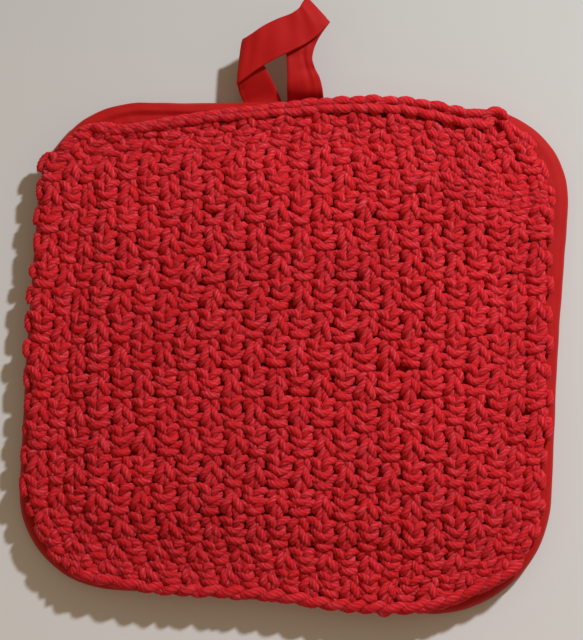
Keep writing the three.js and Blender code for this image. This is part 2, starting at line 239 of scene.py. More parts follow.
def catmull_rom(line, t):
    """Cubics through a line's points, each with the slope between its two neighbours, at t
    points from the first; the ends are continued straight."""
    padded = np.concatenate([[2 * line[0] - line[1]], line, [2 * line[-1] - line[-2]]])
    i = np.clip(t.astype(int), 0, len(line) - 2)
    f = (t - i)[:, None]
    p0, p1, p2, p3 = (padded[i + k] for k in range(4))
    square = (2 * p0 - 5 * p1 + 4 * p2 - p3) * f**2
    return 0.5 * (2 * p1 + (p2 - p0) * f + square + (3 * p1 - p0 - 3 * p2 + p3) * f**3)


def between(grid, x, y):
    """Straight interpolation of a grid at column x and row y. Past the grid's edges, its
    outer cells carry on."""
    i = np.clip(np.floor(x), 0, grid.shape[1] - 2).astype(int)
    j = np.clip(np.floor(y), 0, grid.shape[0] - 2).astype(int)
    fx, fy = (x - i)[..., None], (y - j)[..., None]
    near = grid[j, i] * (1 - fx) + grid[j, i + 1] * fx
    far = grid[j + 1, i] * (1 - fx) + grid[j + 1, i + 1] * fx
    return near * (1 - fy) + far * fy


# ------ outline of the pad


def make_outline(per_arc=60, per_side=60):
    """The outline, clockwise, as (points, outward normals): an arc round each corner, then
    the side after it, bowed out by bow times the squared sine of the way along it."""
    corner = np.array([(c["x"], c["y"]) for c in CORNERS], float)
    radius = np.array([[c["radius"]] for c in CORNERS], float)
    back = unit(np.roll(corner, 1, axis=0) - corner)
    ahead = unit(np.roll(corner, -1, axis=0) - corner)
    half = np.arccos((back * ahead).sum(-1, keepdims=True)) / 2
    starts = corner + back * radius / np.tan(half)
    ends = corner + ahead * radius / np.tan(half)
    centres = corner + unit(back + ahead) * radius / np.sin(half)
    t = (np.arange(per_side) / per_side)[:, None]
    points, normals = [], []
    for i, given in enumerate(CORNERS):
        first, last = (math.atan2(*(p[i] - centres[i])[::-1]) for p in (starts, ends))
        if last > first:
            last -= 2 * math.pi
        angle = first + (last - first) * np.arange(per_arc) / per_arc
        normal = np.stack([np.cos(angle), np.sin(angle)], -1)
        points.append(centres[i] + normal * given["radius"])
        normals.append(normal)
        side = starts[(i + 1) % len(CORNERS)] - ends[i]
        length = np.linalg.norm(side)
        side /= length
        out = np.array([-side[1], side[0]])
        slope = given["bow"] * math.pi * np.sin(2 * math.pi * t) / length
        bow = given["bow"] * np.sin(math.pi * t) ** 2
        points.append(ends[i] + side * length * t + out * bow)
        normals.append(unit(out - side * slope))
    return (np.roll(np.concatenate(a), -(per_arc // 2), axis=0) for a in (points, normals))


OUTLINE, OUTWARD = make_outline()
ROUND = way_along(np.append(OUTLINE, OUTLINE[:1], axis=0))
PERIMETER = ROUND[-1]
BINDING = np.array(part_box("edge_binding")) / MM
SHIFT = np.append(BINDING[0][:2] - OUTLINE.min(axis=0), 0.0)


def outline_at(way):
    """Points and outward normals a fraction `way` of the way round, clockwise from the
    middle of the top left corner, by straight interpolation of the outline."""
    length = np.mod(way, 1.0)
    point, normal = (
        np.stack(
            [np.interp(length, ROUND / PERIMETER, np.append(a[:, k], a[0, k])) for k in (0, 1)], -1
        )
        for a in (OUTLINE, OUTWARD)
    )
    return point, unit(normal)


def inset_at(x, y):
    """Distance inside the outline, negative outside: to the nearest point of the outline,
    with the sign of that point's outward normal."""
    place = np.stack([x.ravel(), y.ravel()], -1)
    far = ((place[:, None] - OUTLINE[None]) ** 2).sum(-1)
    near = far.argmin(axis=1)
    off = place - OUTLINE[near]
    sign = np.where((off * OUTWARD[near]).sum(-1) > 0, -1.0, 1.0)
    return (sign * np.linalg.norm(off, axis=1)).reshape(x.shape)


def pad_top(x, y, inset):
    """Top of the filling: a shelf under the binding, a smooth rise just inside it, and a
    crown that is a product of two parabolas with a slow ripple."""
    near = np.minimum(inset, PAD["closing"])
    rise = PAD["swell"] * smooth((near - PAD["swell_start"]) / PAD["swell_width"])
    fade = smooth((near - PAD["swell_start"]) / (PAD["closing"] - PAD["swell_start"]))
    crown = PAD["crown"] * (1 - (x / PAD["half_width"]) ** 2) * (1 - (y / PAD["half_height"]) ** 2)
    ripple = PAD["ripple"] * np.sin(x / 17 + 0.6) * np.sin(y / 21 - 0.4)
    return PAD["shelf"] + rise + fade * (crown + ripple)


# ------ the knitted panel's ground


def panel_edge(way):
    """Point of the panel's edge: the outline moved in by a cubic through the table's
    insets, whose slope at each row is that between the rows beside it."""
    table = PANEL_EDGE
    count = len(table)
    way = np.mod(way, 1.0)
    i = np.searchsorted(table[:, 0], way, side="right") - 1

    def row(k):
        turns = np.floor_divide(k, count)
        found = table[k - turns * count]
        return found[..., 0] + turns, found[..., 1]

    (w0, s0), (w1, s1), (w2, s2), (w3, s3) = (row(i + k) for k in (-1, 0, 1, 2))
    span = w2 - w1
    slope1 = (s2 - s0) / (w2 - w0) * span
    slope2 = (s3 - s1) / (w3 - w1) * span
    t = (way - w1) / span
    inset = (
        (2 * t**3 - 3 * t**2 + 1) * s1
        + (t**3 - 2 * t**2 + t) * slope1
        + (3 * t**2 - 2 * t**3) * s2
        + (t**3 - t**2) * slope2
    )
    point, normal = outline_at(way)
    return point - normal * inset[..., None]


def blend_of_edges(u, v):
    """Place in the panel: the even (Coons) blend of its top, bottom, left and right edges,
    with u from left to right and v from top to bottom."""
    tl, tr, br, bl = (PANEL[k] for k in ("top_left", "top_right", "bottom_right", "bottom_left"))
    top = panel_edge(tl + (tr + 1 - tl) * u)
    bottom = panel_edge(bl + (br - bl) * u)
    left = panel_edge(tl + (bl - tl) * v)
    right = panel_edge(tr + (br - tr) * v)
    tl, tr, br, bl = (panel_edge(np.array(way)) for way in (tl, tr, br, bl))
    u, v = u[..., None], v[..., None]
    corners = (1 - u) * (1 - v) * tl + u * (1 - v) * tr + (1 - u) * v * bl + u * v * br
    return (1 - v) * top + v * bottom + (1 - u) * left + u * right - corners


def panel_underside(x, y):
    """Underside of the knitting: it lies on the filling and follows the round rim down."""
    inset = inset_at(x, y)
    reach = RIM["radius"] + PANEL["lift"]
    down = np.maximum(RIM["radius"] - np.maximum(inset, 0), 0)
    rim = RIM["radius"] + np.sqrt(np.maximum(reach**2 - down**2, 0))
    return np.maximum(rim, pad_top(x, y, inset) + PANEL["rest"])


def make_ground(steps=120):
    """Grid over the panel of (points on its underside, unit normals)."""
    v, u = np.meshgrid(*[np.linspace(0, 1, steps + 1)] * 2, indexing="ij")
    flat = blend_of_edges(u, v)
    height = panel_underside(flat[..., 0], flat[..., 1])
    for _ in range(6):  # the knitting bridges the small steps under it
        padded = np.pad(height, 1, mode="edge")
        around = padded[:-2, 1:-1] + padded[2:, 1:-1] + padded[1:-1, :-2] + padded[1:-1, 2:]
        height = 0.5 * height + 0.125 * around
    points = np.concatenate([flat, height[..., None]], -1)
    normals = unit(np.cross(np.gradient(points, axis=0), np.gradient(points, axis=1)))
    return points, normals * np.sign(normals[..., 2:])


GROUND, GROUND_UP = make_ground()


def on_ground(u, v, height):
    """Point a given height off the panel's underside, carried on past the panel's edges."""
    last = len(GROUND) - 1
    point, up = (between(grid, u * last, v * last) for grid in (GROUND, GROUND_UP))
    return point + up * np.asarray(height)[..., None]


# Slack places where the fabric opens into a small hole: (stitch from the left, row from
# the bottom, width of the hole in millimetres).
HOLES = (
    (8.55, 27.1, 2.5),
    (4.5, 22.9, 2.2),
    (12.0, 20.6, 2.7),
    (17.8, 18.9, 2.5),
    (17.4, 16.4, 2.4),
    (9.1, 23.1, 1.4),
    (6.1, 16.7, 1.7),
    (20.6, 28.7, 1.7),
    (14.5, 12.6, 1.5),
    (3.9, 12.4, 1.4),
    (21.4, 10.1, 1.4),
    (13.1, 4.6, 1.5),
    (18.9, 3.9, 1.7),
    (16.3, 3.6, 1.4),
    (10.5, 13.4, 1.2),
    (6.6, 30.2, 1.5),
)


def open_holes(across, up, reach=2.6):
    """Strands move away from the middle of each hole by half its width times a bell curve
    of their distance."""
    for stitch, row, width in HOLES:
        dx = across - stitch * KNIT["stitch"]
        dy = up - row * KNIT["row"]
        far = np.sqrt(dx * dx + dy * dy) + 0.2
        push = 0.5 * width * hump(far / reach)
        across = across + dx / far * push
        up = up + dy / far * push
    return across, up


def hand_tension(across, up):
    """Slow waves of the knitter's tension: sums of two sines each way, up to 1.3 mm."""
    wave_x = 0.8 * np.sin(up / 23 + 1.3) + 0.45 * np.sin(up / 9.1 + across / 31)
    wave_y = 0.7 * np.sin(across / 27 + 0.4) + 0.35 * np.sin(across / 8.3 + up / 19)
    return across + wave_x, up + wave_y


def corner_pull(u, v, most=0.075, at=0.13, reach=0.11, start=0.74, rise=0.2):
    """At the top right the rows dip towards the sewn-down corner: v grows by a bell curve
    of the height times an ease along the row."""
    return most * hump((v - at) / reach) * smooth((u - start) / rise)


def shape_cells(path):
    """Draws the settled knitting into the shape it takes when it is worn. With A = cos of
    half a turn for each stitch across, so that it changes sign from one column to the
    next: the fabric stretches up and down round the knit pairs and shrinks beside them, by
    A sin; it stands up at the knit pairs and sinks at the second purl bumps, by A cos; and
    it draws in sideways, bumps more than knit legs, by the sine of a whole turn for each
    stitch."""
    across, up, depth = np.moveaxis(path, -1, 0)
    half = math.pi / (2 * KNIT["row"])
    place = 2 * math.pi * (across / KNIT["stitch"] - 0.5)
    column = np.cos(place / 2)
    knit = column * np.cos(half * (up - CELLS["middle"] * KNIT["row"]))
    sunk = column * np.cos(half * (up - CELLS["sunk_at"] * KNIT["row"]))
    stretch = column * np.sin(half * (up - CELLS["middle"] * KNIT["row"]))
    aside = CELLS["bump_in"] * (1 - knit) / 2 + CELLS["legs_in"] * (1 + knit) / 2
    return np.stack(
        [
            across - aside * np.sin(place),
            up + CELLS["stretch"] * stretch,
            KNIT["flatten"] * depth - CELLS["sink"] * sunk,
        ],
        -1,
    )


def lay_on_panel(path):
    """Carries points of the flat knitting (across, up, depth) onto the panel. The panel is
    sewn on upside down, so the first row lies along the top."""
    across, up, depth = np.moveaxis(path, -1, 0)
    across, up = hand_tension(*open_holes(WIDTH - across, HEIGHT - up))
    width, height = PANEL["width"], PANEL["height"]
    side, top, bottom = (KNIT[k] for k in ("side_margin", "top_margin", "bottom_margin"))
    u = (side + across / WIDTH * (width - 2 * side)) / width
    v = (top + (1 - up / HEIGHT) * (height - top - bottom)) / height
    return on_ground(u, v + corner_pull(u, v), PANEL["middle"] + depth)


# ------ the yarn of the stitches


def faces_of_stitches(rows, columns):
    """+1 for a knit stitch and -1 for a purl one: two rows alike, then they change about."""
    r, c = np.indices((rows, columns))
    return np.where((c + r // 2) % 2 == 0, 1.0, -1.0)


def evenly(line, count, closed_end=False):
    """The same line with `count` points at even steps along it."""
    along = way_along(line)
    wanted = np.linspace(0, along[-1], count, endpoint=closed_end)
    return np.stack([np.interp(wanted, along, line[:, k]) for k in range(line.shape[1])], -1)


def first_repeat(lift=1.1):
    """Yarn of one repeat of the pattern, two stitches by four rows, along STITCH_PATH."""
    face = faces_of_stitches(4, 2)
    above = np.roll(face, -1, axis=0)
    left, right = np.roll(face, 1, axis=1), np.roll(face, -1, axis=1)
    shares = np.stack([face, above, left, right], -1)
    points = np.zeros((4, 2, KNIT["points"], 3))
    for r in range(4):
        for c in range(2):
            path = np.empty((len(STITCH_PATH), 3))
            path[:, 0] = (STITCH_PATH[:, 0] + c) * KNIT["stitch"]
            path[:, 1] = (STITCH_PATH[:, 1] + r) * KNIT["row"]
            path[:, 2] = STITCH_PATH[:, 2:] @ shares[r, c] * lift
            points[r, c] = evenly(path, KNIT["points"])
    return points


def neighbours(points, size, touch, skip, margin=0.7):
    """Pairs of points of different strands, or of one strand further apart along it than
    `skip` points, that lie less than the margin from touching: (first, second, offset of
    second)."""
    rows, columns, count, _ = points.shape
    index = np.arange(rows * columns * count).reshape(rows, columns, count)
    r, c = np.indices((rows, columns))
    step = np.arange(count)
    found = []
    for dr, dc in ((0, 0), (0, 1), (1, -1), (1, 0), (1, 1), (2, -1), (2, 0), (2, 1)):
        to_r, to_c = (r + dr) % rows, (c + dc) % columns
        offset = np.stack([(c + dc - to_c) / columns, (r + dr - to_r) / rows, 0 * r], -1) * size
        other = points[to_r, to_c] + offset[:, :, None]
        gap = ((points[:, :, :, None] - other[:, :, None]) ** 2).sum(-1)
        close = gap < (touch + margin) ** 2
        if dr == 0:
            close &= (step[None, :] + dc * count - step[:, None]) > skip
        a, b, i, j = np.nonzero(close)
        found.append((index[a, b, i], index[to_r, to_c][a, b, j], offset[a, b]))
    return [np.concatenate(column) for column in zip(*found)]


def settle(points, lengths, touch, rounds, grow=0.6, hold=0.0):
    """Lets the yarn find its shape: each round moves every point by four small forces.
    The strand pulls its steps to the wanted length; it straightens, by the difference of
    neighbouring second differences; strands closer than `touch` push apart; and the fabric
    draws flat. `touch` and the lengths are reached after a share `grow` of the rounds.
    The pattern repeats over `size`, so the edges keep the shape of the middle."""
    rows, columns, count, _ = points.shape
    size = np.array([columns * KNIT["stitch"], rows * KNIT["row"], 0.0])
    line = points.reshape(rows, columns * count, 3).copy()
    wrap = size * (1, 0, 0)
    home = points.mean(axis=2)

    def beside(p, way, turn=0.0):
        """The values one point further on (way 1) or back (way -1)."""
        moved = np.roll(p, -way, axis=1)
        moved[:, -1 if way > 0 else 0] += way * turn
        return moved

    begun = np.linalg.norm(beside(line, 1, wrap) - line, axis=-1)
    begun = begun.reshape(rows, columns, count).sum(-1)
    for turn in range(rounds):
        share = min(1.0, 0.5 + 0.5 * turn / max(1, grow * rounds)) if grow else 1.0
        reach = touch * share
        step = (begun + (lengths - begun) * share) / count
        step = np.repeat(step, count, axis=1)[..., None]
        by_stitch = line.reshape(rows, columns, count, 3)
        if turn % SETTLE["again"] == 0:
            skip = int(np.ceil(reach * 1.6 / step.mean()))
            one, two, offset = neighbours(by_stitch, size, reach, skip)
        ahead, behind = beside(line, 1, wrap), beside(line, -1, wrap)
        link = ahead - line
        far = np.linalg.norm(link, axis=-1, keepdims=True)
        pull = (far - step) * link / far
        force = SETTLE["pull"] * (pull - beside(pull, -1))
        bend = 0.5 * (ahead + behind) - line
        force += SETTLE["bend"] * (bend - 0.5 * (beside(bend, 1) + beside(bend, -1)))
        flat = line.reshape(-1, 3)
        apart = flat[one] - flat[two] - offset
        gap = np.linalg.norm(apart, axis=1)
        strength = SETTLE["push"] * np.maximum(reach - gap, 0) / np.maximum(gap, 1e-6)
        for k in range(3):
            push = apart[:, k] * strength
            press = np.bincount(one, push, len(flat)) - np.bincount(two, push, len(flat))
            force[..., k] += press.reshape(force.shape[:2])
        force[..., 2] -= SETTLE["flatten"] * line[..., 2]
        if hold:
            drift = home - by_stitch.mean(axis=2)
            force += hold * np.repeat(drift, count, axis=1)
        size_of = np.linalg.norm(force, axis=-1, keepdims=True)
        line += force * np.minimum(1.0, SETTLE["step"] / np.maximum(size_of, 1e-9))
        line[..., 2] -= line[..., 2].mean()
    return line.reshape(rows, columns, count, 3)


def knit_rows(random):
    """Yarn of all the rows, flat: (rows, stitches, points, xyz). One repeat settles first;
    then the whole cloth does, with a different length of yarn in each stitch."""
    rows, columns = KNIT["rows"], KNIT["columns"]
    repeat = first_repeat()
    even = np.resize(KNIT["lengths"], (2, 4)).T
    repeat = settle(repeat, even, KNIT["touch"], rounds=1500)
    down, along = rows // 4, columns // 2
    cloth = np.tile(repeat, (down, along, 1, 1))
    r, c = np.indices((rows, columns))
    cloth[..., 0] += (c // 2 * 2 * KNIT["stitch"])[..., None]
    cloth[..., 1] += (r // 4 * 4 * KNIT["row"])[..., None]
    now = np.linalg.norm(np.diff(repeat, axis=2), axis=-1).sum(-1)
    now = np.tile(now * KNIT["points"] / (KNIT["points"] - 1), (down, along))
    uneven = np.clip(random.normal(0, KNIT["uneven"], (rows, columns)), *KNIT["most_uneven"])
    return settle(cloth, now * (1 + uneven), KNIT["touch"], rounds=120, grow=0, hold=0.02)


def rounded(line, count, per_point=6):
    """Smooth line through the points, with `count` even steps."""
    t = np.arange((len(line) - 1) * per_point + 1) / per_point
    return evenly(catmull_rom(line, t), count + 1, closed_end=True)


def turn_of_row(end, beyond, side, random):
    """Where the yarn turns back at a side of the panel: from the end of one row round to
    the end of the next, bulging out past both."""
    bulge = side * random.uniform(0.5, 1.2)
    dip = random.uniform(0.1, 0.4)
    lift = random.uniform(-0.5, 0.2)
    (x, low, depth), (_, high, next_depth) = end, beyond
    return np.array([
        (x + 0.45 * bulge, low - dip, 0.3 * depth + lift),
        (x + 0.85 * bulge, low + 0.4, 0.3 + lift),
        (x + bulge, (low + high) / 2, 0.3 + lift),
        (x + 0.85 * bulge, high - 0.4, 0.3 + lift),
        (x + 0.45 * bulge, high + dip, 0.3 * next_depth + lift),
        tuple(beyond),
    ])


def row_strands(cloth, random):
    """One strand for each row, with the turn into the next row at its right end on even
    rows and at its left end on odd ones."""
    rows, columns, count, _ = cloth.shape
    node = random.normal(0, 1, (rows + 3, columns + 3, 3)) * KNIT["wander"]
    lines = cloth.reshape(rows, columns * count, 3).copy()
    close = lines[:, :1] + (WIDTH, 0, 0)
    lines = shape_cells(np.concatenate([lines, close], axis=1))
    i = np.clip(lines[..., 0] / KNIT["stitch"] + 1, 0, columns + 1.999)
    j = np.clip(lines[..., 1] / KNIT["row"] + 1, 0, rows + 1.999)
    lines += between(node, i, j)
    strands = []
    for r, line in enumerate(lines):
        if r + 1 < rows:
            end, side = (-1, 1) if r % 2 == 0 else (0, -1)
            turn = turn_of_row(line[end], lines[r + 1][end], side, random)
            line = np.concatenate([line, turn] if side > 0 else [turn[::-1], line])
        strands.append(rounded(line, columns * KNIT["segments"] + KNIT["turn_segments"]))
    return np.array(strands)


# ------ meshes


def add_object(name, data):
    """A new object in the scene."""
    made = bpy.data.objects.new(name, data)
    bpy.context.collection.objects.link(made)
    return made


def to_mesh(name, points, faces, material, uv=None):
    """A piece from points in millimetres in the pad's frame; uv holds one pair for each
    corner of each face."""
    mesh = bpy.data.meshes.new(name)
    where = (np.asarray(points, float).reshape(-1, 3) + SHIFT) * MM
    faces = np.asarray(faces, np.int32)
    corners = faces.shape[1]
    mesh.vertices.add(len(where))
    mesh.vertices.foreach_set("co", where.astype(np.float32).ravel())
    mesh.loops.add(faces.size)
    mesh.loops.foreach_set("vertex_index", faces.ravel())
    mesh.polygons.add(len(faces))
    mesh.polygons.foreach_set("loop_start", np.arange(0, faces.size, corners, dtype=np.int32))
    mesh.update(calc_edges=True)
    mesh.polygons.foreach_set("use_smooth", np.ones(len(faces), bool))
    if uv is not None:
        layer = mesh.uv_layers.new(name="UVMap")
        layer.data.foreach_set("uv", np.asarray(uv, np.float32).ravel())
    mesh.validate()
    mesh.materials.append(material)
    return add_object(name, mesh)


def close_with(piece, rings, smooth_faces):
    """Adds a face to a piece for each ring of point numbers, and turns all faces outwards."""
    form = bmesh.new()
    form.from_mesh(piece.data)
    form.verts.ensure_lookup_table()
    for ring in rings:
        form.faces.new([form.verts[i] for i in ring]).smooth = smooth_faces
    bmesh.ops.recalc_face_normals(form, faces=form.faces)
    form.to_mesh(piece.data)
    form.free()


def grid_faces(rows, columns, close_rows=False, close_columns=False, flip=False):
    """Four-cornered faces of a grid of points, (rows, columns). Each runs along its row,
    on to the next row and back, or the other way with flip."""
    i = np.arange(rows if close_rows else rows - 1)[:, None]
    j = np.arange(columns if close_columns else columns - 1)[None]
    i2, j2 = (i + 1) % rows, (j + 1) % columns
    faces = [i * columns + j, i * columns + j2, i2 * columns + j2, i2 * columns + j]
    return np.stack(faces[::-1] if flip else faces, -1).reshape(-1, 4)


def grid_uv(across, along, flip=False):
    """One (u, v) pair for each corner of each face of grid_faces, from the places of the
    grid's columns (u) and rows (v), which have one value more where the grid closes."""
    u0, v0 = np.meshgrid(across[:-1], along[:-1])
    u1, v1 = np.meshgrid(across[1:], along[1:])
    pairs = [(u0, v0), (u1, v0), (u1, v1), (u0, v1)]
    return np.stack([np.stack(p, -1) for p in (pairs[::-1] if flip else pairs)], 2).reshape(-1, 2)


def strand_mesh(name, lines, diameter, material, ply=PLY, sides=KNIT["sides"]):
    """Tubes along lines of equal point counts. A section is a circle with a lobe for each
    ply, radius times 1 - groove (1 - cos(lobes angle)) / 2, carried along the line without
    twist and then turned once in each pitch, so that the lobes wind round as plies. The
    ends draw in to a small last ring."""
    lines = np.asarray(lines, float)
    many, count, _ = lines.shape
    way = unit(np.gradient(lines, axis=1))
    side = np.zeros_like(lines)
    carried = np.eye(3)[np.abs(way[:, 0]).argmin(axis=1)]
    for k in range(count):  # along the strands, all of them at once
        carried = unit(carried - way[:, k] * (carried * way[:, k]).sum(-1, keepdims=True))
        side[:, k] = carried
    up = np.cross(way, side)
    along = way_along(lines)
    ends = 1 - 0.85 * (hump(np.arange(count) / 0.8) + hump((count - 1 - np.arange(count)) / 0.8))
    angle = 2 * math.pi * np.arange(sides) / sides
    lobes = 1 - ply["groove"] * (1 - np.cos(ply["count"] * angle)) / 2
    radius = diameter / 2 * ends[None, :, None] * lobes[None, None]
    turned = angle[None, None] + 2 * math.pi * along[..., None] / ply["pitch"]
    points = lines[:, :, None] + radius[..., None] * (
        np.cos(turned)[..., None] * side[:, :, None] + np.sin(turned)[..., None] * up[:, :, None]
    )
    tube = grid_faces(count, sides, close_columns=True)
    first = np.arange(many)[:, None, None] * count * sides
    faces = (tube[None] + first).reshape(-1, 4)
    around = np.arange(sides + 1) / sides
    uv = [grid_uv(around, distance) for distance in along]
    return to_mesh(name, points, faces, material, np.concatenate(uv))


# ------ edges of the knitting


# One link of the cast-off chain: (share of the link's length, out from the edge, depth).
CHAIN_LINK = np.array([
    (0.00, 0.40, -0.4),
    (0.35, 1.30, 0.9),
    (0.85, 1.70, 1.2),
    (1.25, 1.10, 0.3),
    (1.36, 0.00, -0.7),
    (1.25, -1.10, 0.3),
    (0.85, -1.70, 1.2),
    (0.35, -1.20, 0.9),
    (0.00, -0.40, -0.4),
    (0.25, -0.10, -1.3),
    (0.75, 0.10, -1.3),
])
CHAIN = {
    "links": 25,
    "start": 1.5,  # from the right side to the first link
    "end": 4.5,  # and from the left side to the end of the last
    "out": 0.8,
    "depth": 0.9,
    "uneven": 0.15,
    "open": 6,  # points of the last link that are left out, so that it stays open
    "segments": 36,
    "strand": 3.1,
}
CAST_ON = {
    "radius": 1.3,
    "pitch": 15.6,
    "out": 1.1,
    "depth": 0.6,
    "over": 2.0,  # how far it goes on past both sides
    "segments": 260,
    "strand": 3.3,
}


def cast_off_chain(random):
    """The chain along the top edge: the yarn draws each link through the one before and
    passes back under it."""
    links = CHAIN["links"]
    pitch = (WIDTH - CHAIN["end"] - CHAIN["start"]) / links
    wide = 1 + random.normal(0, 0.09, (links, 1))
    across = CHAIN["start"] + (np.arange(links)[:, None] + CHAIN_LINK[:, 0]) * pitch
    across = across + random.normal(0, CHAIN["uneven"], (links, 1))
    out = CHAIN_LINK[:, 1] * wide + random.normal(0, CHAIN["uneven"], (links, 1)) + CHAIN["out"]
    depth = np.broadcast_to(CHAIN_LINK[:, 2] + CHAIN["depth"], out.shape)
    path = np.stack([WIDTH - across, -out, depth], -1).reshape(-1, 3)[: -CHAIN["open"]]
    return rounded(path, links * CHAIN["segments"])[None]


def cast_on_cord():
    """The cast-on edge along the bottom: two strands that wind round each other, each a
    helix about the edge, with their pitch wandering a little."""
    along = np.linspace(-CAST_ON["over"], WIDTH + CAST_ON["over"], CAST_ON["segments"])
    wander = 0.5 * np.sin(along / 11.0 + 0.8) + 0.35 * np.sin(along / 5.3)
    strands = []
    for half in (0, 1):
        angle = math.pi * half - 2 * math.pi * (along + 1.6 * wander) / CAST_ON["pitch"]
        out = CAST_ON["out"] + CAST_ON["radius"] * np.cos(angle) + 0.25 * wander
        depth = CAST_ON["depth"] + CAST_ON["radius"] * np.sin(angle)
        strands.append(np.stack([along, HEIGHT + out, depth], -1))
    return np.array(strands)


# ------ the rim, pad and loop


def rim_section(steps=18, flats=12):
    """Section of the folded tape as (inset, height, outward inset, outward height): in
    over the back, round the edge by a half circle, and in over the front; then back along
    the tape's inner face, a smaller half circle."""
    r, t, w = RIM["radius"], RIM["tape"], RIM["width"]
    angle = np.linspace(-math.pi / 2, math.pi / 2, steps)
    flat = np.linspace(w, r, flats, endpoint=False)
    back = np.stack([flat, 0 * flat, 0 * flat, 0 * flat - 1], -1)
    arc = np.stack([r - r * np.cos(angle), r + r * np.sin(angle), -np.cos(angle), np.sin(angle)], -1)
    front = np.stack([flat[::-1], 2 * r + 0 * flat, 0 * flat, 0 * flat + 1], -1)
    outer = np.concatenate([back, arc, front])
    inner = outer.copy()
    inner[:, :2] -= outer[:, 2:] * t
    inner[:, 2:] = 0
    rolled = [(w + RIM["roll"], height, 1.0, 0.0) for height in (2 * r - t / 2, t / 2)]
    return np.concatenate([outer, rolled[:1], inner[::-1], rolled[1:]])


def near_way(way, at, half_width):
    """Bell curve of the way round the outline, about one place on it."""
    return hump((np.mod(way - at + 0.5, 1) - 0.5) / half_width)


def rim_tape(material):
    """The binding: its section carried round the outline, with soft creases along the tape
    at the top left, where it is not stretched, and small puckers across it beside the
    seam, deeper at the corners. Both are sines and bell curves of the ways along and
    across the tape."""
    section = rim_section()
    across = way_along(np.append(section, section[:1], axis=0)[:, :2])
    place = across[:-1][None]
    ways = np.linspace(0, 1, RIM["stations"], endpoint=False)
    way = ways[:, None]
    length = way * PERIMETER
    outer = across[len(section) // 2 - 1]
    edge = np.minimum(place, outer - place)
    corner = sum(near_way(way, at, PUCKERS["corner_reach"]) for at in (0.0, 0.253, 0.5, 0.75))
    puckers = np.sin(length / 0.86 + 1.7 * np.sin(length / 13))
    puckers = puckers * (PUCKERS["depth"] + PUCKERS["at_corners"] * corner)
    puckers = puckers * hump((edge - PUCKERS["inset"]) / PUCKERS["reach"])
    crease_at = outer - SLACK["line"] + 1.1 * np.sin(length / 21) + 0.35 * np.sin(length / 7)
    creases = sum(
        height * hump((place - crease_at - aside + sway * np.sin(length / 9)) / half_width)
        for height, aside, half_width, sway in CREASES
    )
    drag = 0.10 * np.sin(length / 4.1 + place / 2.3 + 2 * np.sin(length / 37))
    drag = drag + 0.07 * np.sin(length / 1.9 - place / 1.7 + 3 * np.sin(length / 29))
    slack = near_way(way, SLACK["at"], SLACK["reach"])
    rise = puckers + slack * creases + drag * hump((edge - 7) / 4.5)
    on_floor = section[:, 1] < 0.05
    is_inner = np.linalg.norm(section[:, 2:], axis=1) < 0.5
    rise = np.where((on_floor | is_inner)[None], 0.0, rise)
    moved = section[:, :2] + section[:, 2:] * rise[..., None]
    point, normal = outline_at(ways)
    flat = point[:, None] - normal[:, None] * moved[..., 0:1]
    points = np.concatenate([flat, moved[..., 1:2]], -1)
    rows, columns = points.shape[:2]
    faces = grid_faces(rows, columns, close_rows=True, close_columns=True, flip=True)
    uv = grid_uv(across, np.linspace(0, PERIMETER, rows + 1), flip=True)
    return to_mesh("rim_tape", points, faces, material, uv)

def pad_body(material):
    """The filled pad: rings of the outline moved in, from the middle of the back, round
    its squeezed edge, to the middle of the front. The back is flat with shallow dents of
    the filling, products of sines that fade out towards the edge and the middle."""
    half = PAD["shelf"] - RIM["radius"]
    angle = np.linspace(-math.pi / 2, math.pi / 2, 7)
    inset = np.concatenate([BACK_RINGS, RIM["radius"] - half * np.cos(angle), FRONT_RINGS])
    point, normal = outline_at(np.linspace(0, 1, PAD["stations"], endpoint=False))
    near = np.minimum(inset, PAD["closing"])[None, :, None]
    shrink = 1 - np.maximum(inset - PAD["closing"], 0) / (PAD["half_height"] - PAD["closing"])
    flat = (point[:, None] - normal[:, None] * near) * shrink[None, :, None]
    x, y = flat[..., 0], flat[..., 1]
    wide = np.broadcast_to(inset, x.shape)
    start = PAD["flat_from"]
    lift = (RIM["radius"] - half) * smooth((start - wide) / (start - PAD["swell_start"]))
    dents = (1 + np.sin(x / 7.3 + 0.8 * np.sin(y / 11))) * (1 + np.sin(y / 8.9 - x / 23))
    dents = PAD["dent"] * dents * smooth((wide - start) / PAD["dents_grow"])
    dents = dents * smooth((PAD["dents_end"] - wide) / PAD["dents_shrink"])
    edge = slice(len(BACK_RINGS), len(BACK_RINGS) + len(angle))
    height = lift + dents
    height[:, edge] = RIM["radius"] + half * np.sin(angle)
    height[:, edge.stop :] = pad_top(x, y, wide)[:, edge.stop :]
    points = np.stack([x, y, height], -1)
    rows, columns = x.shape
    middles = points[:, [0, -1]].mean(axis=0)
    points = np.concatenate([points.reshape(-1, 3), middles])
    piece = to_mesh("pad_body", points, grid_faces(rows, columns, close_rows=True), material)
    rings = [
        (k * columns + column, (k + 1) % rows * columns + column, rows * columns + middle)
        for middle, column in enumerate((0, columns - 1))
        for k in range(rows)
    ]
    close_with(piece, rings, smooth_faces=True)
    return piece

